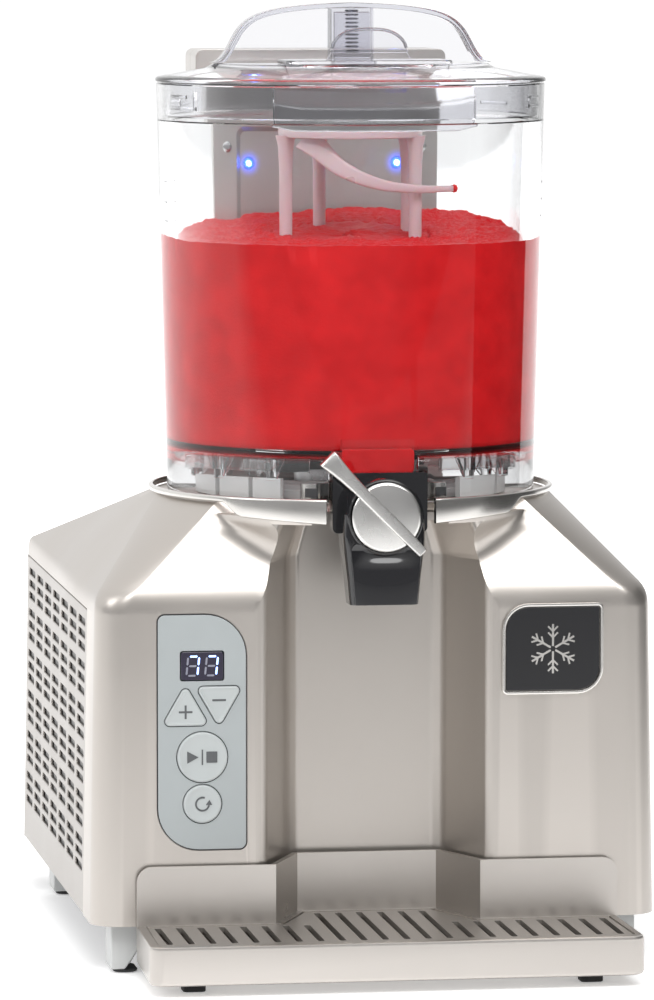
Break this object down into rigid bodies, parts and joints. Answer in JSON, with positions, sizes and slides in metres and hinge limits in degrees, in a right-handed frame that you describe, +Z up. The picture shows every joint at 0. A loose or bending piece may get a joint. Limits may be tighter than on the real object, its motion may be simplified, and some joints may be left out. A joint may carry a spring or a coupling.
{
  "type": "slushie machine",
  "caption": "Counter-top slush machine: vented housing with a cup bay and drip tray, clear lidded tank with stirrer and front tap, and a lit tower behind.",
  "frame": {"origin": "middle of the bounding box at floor level, under the feet", "axes": "+Z up, +Y towards the back with the light tower, -Y towards the tap and drip tray, +X to the user's right"},
  "size_m": [0.3, 0.43, 0.505],
  "materials": {
    "satin_champagne": "satin champagne-silver metallic paint",
    "bright_silver": "satin to bright silver plating",
    "grille_metal": "satin grey-champagne paint",
    "dark_steel": "dark zinc-plated steel",
    "shaft_steel": "brushed stainless steel",
    "cooling_alloy": "plain aluminium fins",
    "copper": "bare copper",
    "compressor_black": "black enamel on steel",
    "clear_plastic": "clear polished copolyester",
    "milky_plastic": "milky translucent plastic, stained pink by the drink",
    "slush_red": "bright red crushed-ice slush",
    "gloss_black": "high-gloss black plastic",
    "display_glass": "dark display window",
    "panel_grey": "satin silver-grey overlay",
    "button_grey": "satin silver-grey keys",
    "pale_plastic": "light grey moulded plastic",
    "rubber": "black rubber",
    "blue_lens": "clear lens lit blue",
    "board_green": "green circuit board"
  },
  "bodies": {
    "root": {"housing_shell": "satin_champagne", "side_panel_left": "satin_champagne", "side_panel_right": "satin_champagne", "rear_panel": "satin_champagne", "tower_front": "satin_champagne", "tower_rear": "satin_champagne", "collar_left": "bright_silver", "collar_right": "bright_silver", "badge_frame": "bright_silver", "tap_bracket": "bright_silver", "base_pan": "dark_steel", "gear_motor": "dark_steel", "gearbox": "dark_steel", "fan_motor": "dark_steel", "tower_screw_left": "dark_steel", "tower_screw_right": "dark_steel", "evaporator_drum": "shaft_steel", "condenser": "cooling_alloy", "filter_drier": "copper", "refrigerant_pipe": "copper", "compressor": "compressor_black", "badge_plate": "gloss_black", "power_inlet": "gloss_black", "fan_shroud": "gloss_black", "display_module": "display_glass", "control_panel": "panel_grey", "foot_front_left": "pale_plastic", "foot_front_right": "pale_plastic", "foot_rear_left": "pale_plastic", "foot_rear_right": "pale_plastic", "plinth_ring": "pale_plastic", "pad_front_left": "rubber", "pad_front_right": "rubber", "pad_rear_left": "rubber", "pad_rear_right": "rubber", "light_lens_left": "blue_lens", "light_lens_right": "blue_lens", "control_board": "board_green"},
    "tray": {"drip_tray": "satin_champagne"},
    "grille": {"drip_grille": "grille_metal"},
    "tank": {"tank_outer_wall": "clear_plastic", "tank_inner_vessel": "clear_plastic", "tank_gasket": "rubber", "slush_fill": "slush_red", "tap_body": "gloss_black", "tap_seal": "rubber"},
    "agitator": {"agitator_frame": "milky_plastic", "agitator_arm": "milky_plastic"},
    "drive": {"drive_shaft": "shaft_steel"},
    "tap": {"tap_lever": "bright_silver", "valve_plug": "pale_plastic"},
    "lid": {"lid_cover": "clear_plastic", "lid_handle": "clear_plastic"},
    "hatch": {"fill_hatch": "clear_plastic"},
    "fan": {"fan_rotor": "pale_plastic"},
    "key_up": {"button_up": "button_grey"},
    "key_down": {"button_down": "button_grey"},
    "key_run": {"button_run": "button_grey"},
    "key_mode": {"button_mode": "button_grey"}
  },
  "joints": [
    {"name": "tray_slide", "type": "slide", "parent": "root", "child": "tray", "axis": [0, -1, 0], "range_m": [0, 0.09]},
    {"name": "grille_lift", "type": "slide", "parent": "tray", "child": "grille", "axis": [0, 0, 1], "range_m": [0, 0.03]},
    {"name": "tank_lift", "type": "slide", "parent": "root", "child": "tank", "axis": [0, 0, 1], "range_m": [0, 0.13]},
    {"name": "lid_lift", "type": "slide", "parent": "tank", "child": "lid", "axis": [0, 0, 1], "range_m": [0, 0.08]},
    {"name": "hatch_hinge", "type": "hinge", "parent": "lid", "child": "hatch", "pos_m": [0, -0.079, 0.4745], "axis": [-1, 0, 0], "range_deg": [0, 90]},
    {"name": "agitator_spin", "type": "hinge", "parent": "tank", "child": "agitator", "pos_m": [0, -0.049, 0.27], "axis": [0, 0, 1], "continuous": true},
    {"name": "drive_spin", "type": "hinge", "parent": "root", "child": "drive", "pos_m": [0, -0.049, 0.362], "axis": [0, 0, 1], "continuous": true},
    {"name": "tap_turn", "type": "hinge", "parent": "tank", "child": "tap", "pos_m": [0, -0.169, 0.241], "axis": [0, 1, 0], "range_deg": [0, 90]},
    {"name": "fan_spin", "type": "hinge", "parent": "root", "child": "fan", "pos_m": [0.108, 0.046, 0.112], "axis": [1, 0, 0], "continuous": true},
    {"name": "key_up_press", "type": "slide", "parent": "root", "child": "key_up", "axis": [0, 1, 0], "range_m": [0, 0.001], "stiffness_N_per_m": 600},
    {"name": "key_down_press", "type": "slide", "parent": "root", "child": "key_down", "axis": [0, 1, 0], "range_m": [0, 0.001], "stiffness_N_per_m": 600},
    {"name": "key_run_press", "type": "slide", "parent": "root", "child": "key_run", "axis": [0, 1, 0], "range_m": [0, 0.001], "stiffness_N_per_m": 600},
    {"name": "key_mode_press", "type": "slide", "parent": "root", "child": "key_mode", "axis": [0, 1, 0], "range_m": [0, 0.001], "stiffness_N_per_m": 600}
  ],
  "couplings": [
    {"joint": "drive_spin", "follows": "agitator_spin", "ratio": 1}
  ]
}
